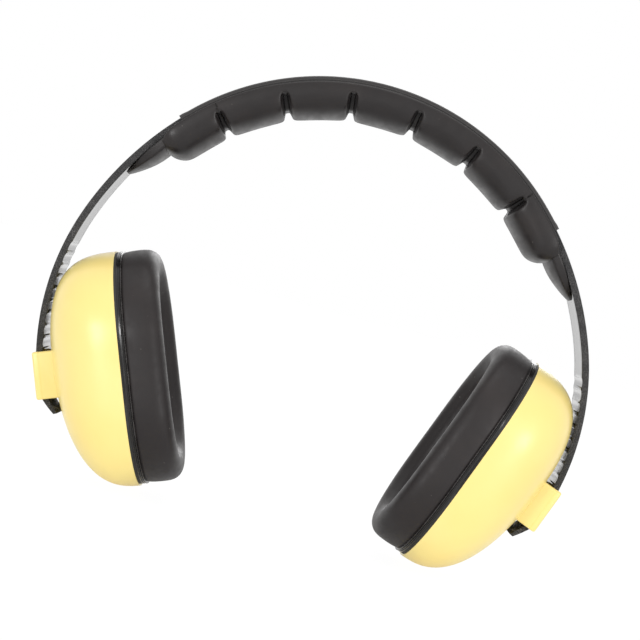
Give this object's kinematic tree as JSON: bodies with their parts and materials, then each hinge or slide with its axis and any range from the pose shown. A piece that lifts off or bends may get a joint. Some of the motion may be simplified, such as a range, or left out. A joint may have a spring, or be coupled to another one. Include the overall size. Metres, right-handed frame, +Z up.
{
  "type": "earmuff hearing protector",
  "caption": "Earmuff hearing protector: sprung headband with a ribbed pillow pad, and padded ear cups that slide on its arms.",
  "frame": {"origin": "centre of the bounding box's bottom face, below the middle of the head gap", "axes": "+X towards one ear, along the widest extent; +Y to the back, along the shortest extent; +Z up to the crown of the band"},
  "size_m": [0.1792, 0.063, 0.1492],
  "materials": {
    "band_plastic": "black moulded nylon, glossy flat faces and a fine speckled edge",
    "sleeve_fabric": "finely ribbed black sleeve",
    "backing_board": "dull black sheet",
    "pad_foam": "grey open-cell foam",
    "pad_vinyl": "charcoal vinyl with a soft sheen",
    "cup_plastic": "satin pale yellow ABS",
    "plate_plastic": "glossy black ABS",
    "seal_rubber": "black rubber",
    "cushion_vinyl": "smooth charcoal vinyl film",
    "cushion_foam": "grey soft foam",
    "acoustic_foam": "dark open-cell foam",
    "liner_cloth": "thin black felt"
  },
  "bodies": {
    "crown": {"headband_crown": "band_plastic", "headband_cover": "sleeve_fabric", "head_pad_backing": "backing_board", "head_pad_foam": "pad_foam", "head_pad_skin": "pad_vinyl"},
    "arm_right": {"headband_arm_right": "band_plastic"},
    "arm_left": {"headband_arm_left": "band_plastic"},
    "cup_right": {"cup_shell_right": "cup_plastic", "cushion_plate_right": "plate_plastic", "cup_seal_right": "seal_rubber", "cushion_skin_right": "cushion_vinyl", "cushion_foam_right": "cushion_foam", "cup_foam_right": "acoustic_foam", "foam_cloth_right": "liner_cloth"},
    "cup_left": {"cup_shell_left": "cup_plastic", "cushion_plate_left": "plate_plastic", "cup_seal_left": "seal_rubber", "cushion_skin_left": "cushion_vinyl", "cushion_foam_left": "cushion_foam", "cup_foam_left": "acoustic_foam", "foam_cloth_left": "liner_cloth"}
  },
  "joints": [
    {"name": "band_flex_right", "type": "hinge", "parent": "crown", "child": "arm_right", "pos_m": [0.06356, 0, 0.11968], "axis": [0, -1, 0], "range_deg": [0, 16], "stiffness_Nm_per_rad": 4},
    {"name": "band_flex_left", "type": "hinge", "parent": "crown", "child": "arm_left", "pos_m": [-0.06356, 0, 0.11968], "axis": [0, 1, 0], "range_deg": [0, 16], "stiffness_Nm_per_rad": 4},
    {"name": "cup_height_right", "type": "hinge", "parent": "arm_right", "child": "cup_right", "pos_m": [0.00408, 0, 0.0557], "axis": [0, -1, 0], "range_deg": [0, 16.8]},
    {"name": "cup_height_left", "type": "hinge", "parent": "arm_left", "child": "cup_left", "pos_m": [-0.00408, 0, 0.0557], "axis": [0, 1, 0], "range_deg": [0, 16.8]}
  ]
}
